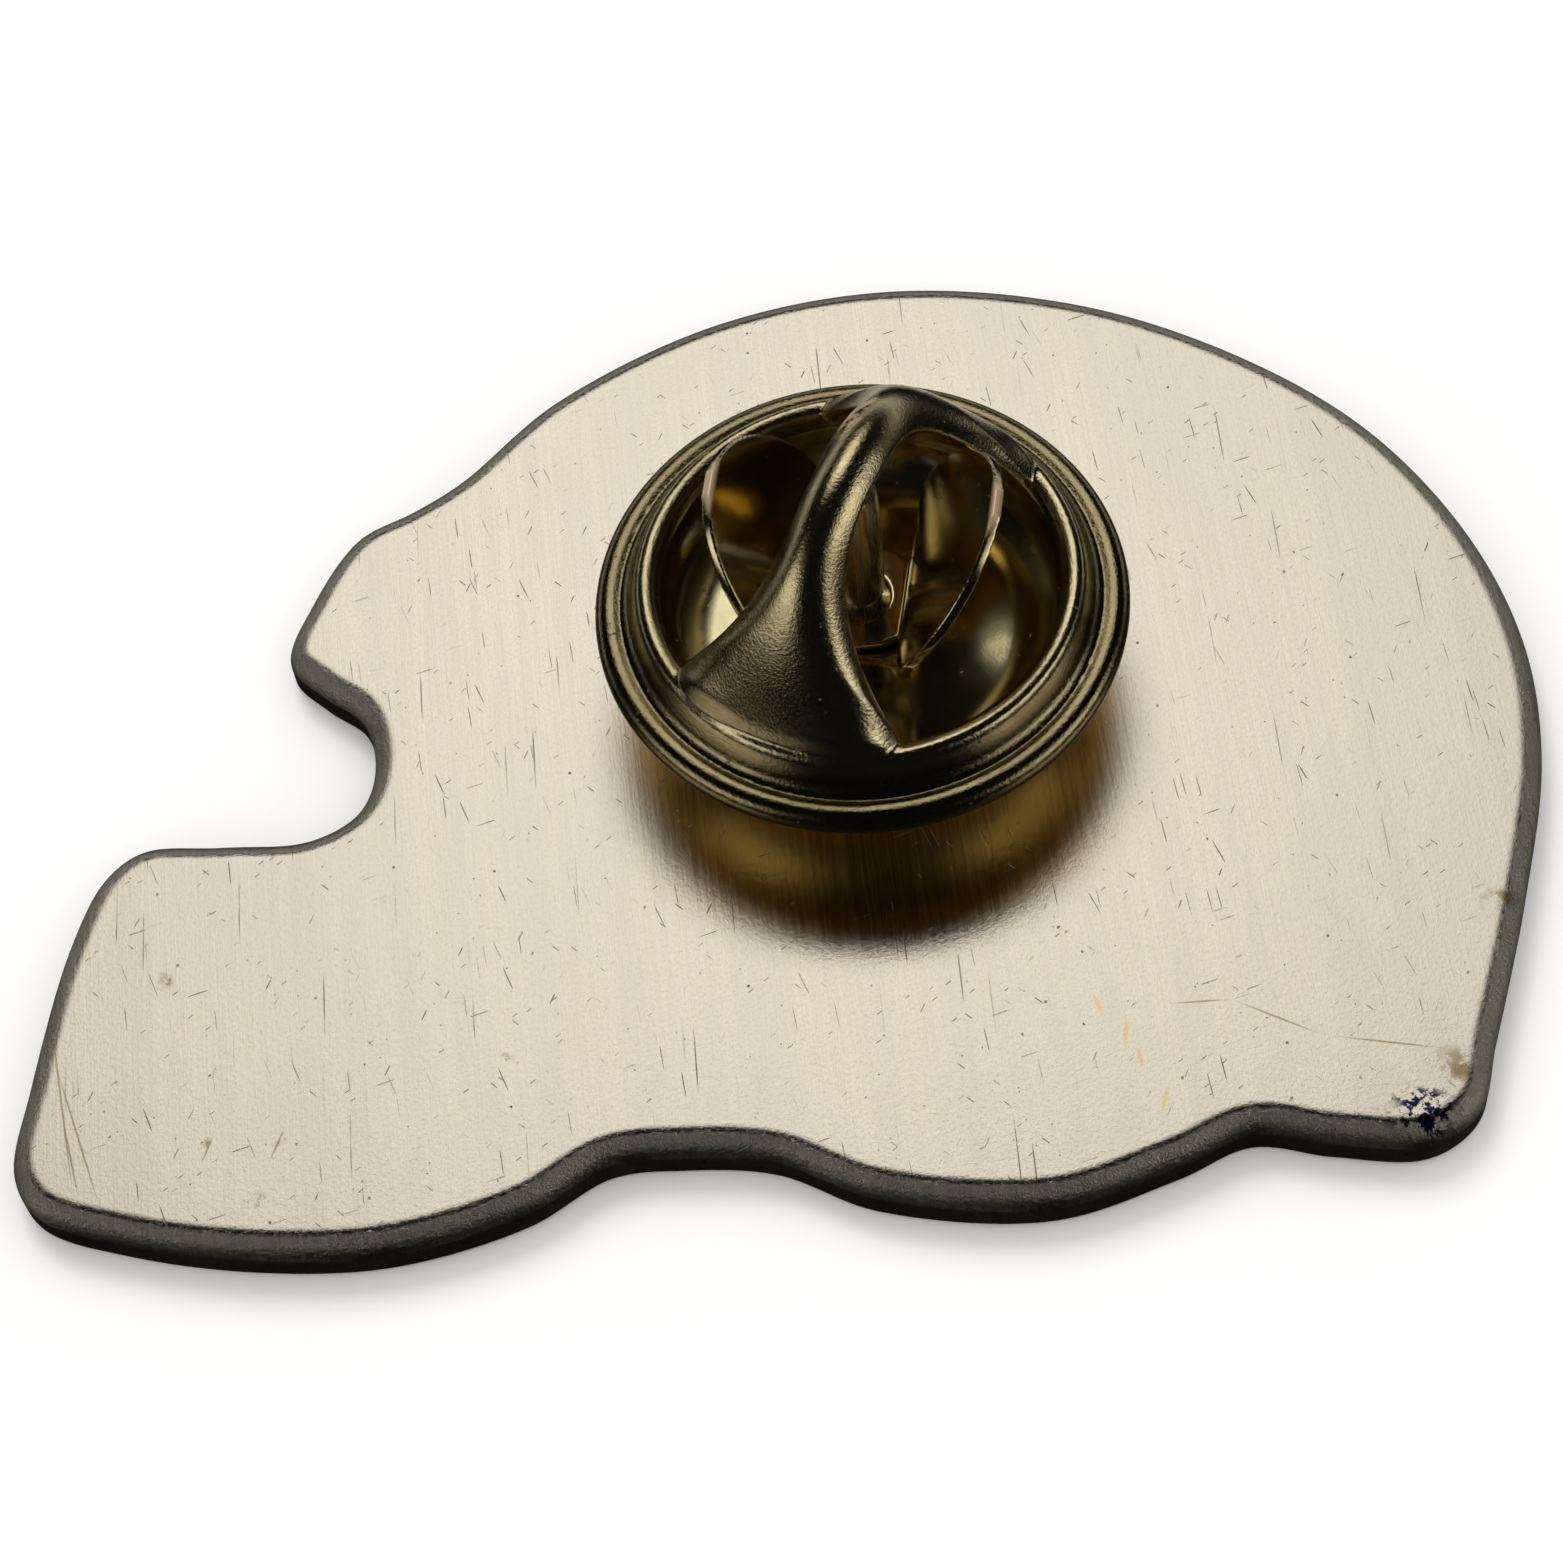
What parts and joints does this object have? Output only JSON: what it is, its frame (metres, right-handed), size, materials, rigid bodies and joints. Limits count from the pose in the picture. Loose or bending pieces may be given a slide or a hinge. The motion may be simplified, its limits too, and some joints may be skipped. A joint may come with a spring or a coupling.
{
  "type": "enamel pin with butterfly clutch",
  "caption": "Helmet-shaped struck lapel pin with recessed enamel fills on the front, a pointed post on the brushed back and a squeeze-release butterfly clutch.",
  "frame": {"origin": "centre of the outline's bounding box, on the front face that the pin lies on", "axes": "+X along the helmet's length, away from the face guard; +Y towards the top of the dome; +Z out of the back, along the post"},
  "size_m": [0.0336, 0.024, 0.0091],
  "materials": {
    "plate_metal": "pale nickel-gold plating, brushed along Y on the back, with scratches and stains",
    "navy_enamel": "soft enamel, glossy, slightly sunk below the metal lines",
    "white_enamel": "soft enamel, glossy",
    "dark_enamel": "soft enamel, glossy",
    "grey_enamel": "soft enamel, glossy",
    "post_metal": "plated drawn wire",
    "solder": "dull solder",
    "clutch_brass": "pale gold plating over stamped brass, satin on the arch and bright on the rim, worn on the crest",
    "wing_brass": "pale gold plating over spring brass"
  },
  "bodies": {
    "pin": {"struck_body": "plate_metal", "shell_enamel_outer": "navy_enamel", "shell_enamel_inner": "navy_enamel", "stripe_enamel": "white_enamel", "ear_hole_enamel": "dark_enamel", "guard_window_upper_front": "grey_enamel", "guard_window_upper_middle": "grey_enamel", "guard_window_upper_rear": "grey_enamel", "guard_window_centre_front": "grey_enamel", "guard_window_centre_middle": "grey_enamel", "guard_window_centre_rear": "grey_enamel", "guard_window_lower_front": "grey_enamel", "guard_window_lower_middle": "grey_enamel", "guard_window_lower_rear": "grey_enamel", "post": "post_metal", "solder_fillet": "solder"},
    "clutch_base": {"clutch_cup": "clutch_brass"},
    "clutch_top": {"clutch_cap": "clutch_brass"},
    "right_wing": {"wing_leaf_right": "wing_brass"},
    "left_wing": {"wing_leaf_left": "wing_brass"}
  },
  "joints": [
    {"name": "clutch_slide", "type": "slide", "parent": "pin", "child": "clutch_base", "axis": [0, 0, 1], "range_m": [-0.00025, 0.008]},
    {"name": "clutch_turn", "type": "hinge", "parent": "clutch_base", "child": "clutch_top", "pos_m": [0.00238, 0.00129, 0.0038], "axis": [0, 0, 1], "continuous": true},
    {"name": "right_wing_press", "type": "slide", "parent": "clutch_top", "child": "right_wing", "axis": [-0.9703, 0.2419, 0], "range_m": [0, 0.0004], "stiffness_N_per_m": 800},
    {"name": "left_wing_press", "type": "slide", "parent": "clutch_top", "child": "left_wing", "axis": [0.9703, -0.2419, 0], "range_m": [0, 0.0004], "stiffness_N_per_m": 800}
  ],
  "couplings": [
    {"joint": "left_wing_press", "follows": "right_wing_press", "ratio": 1}
  ]
}
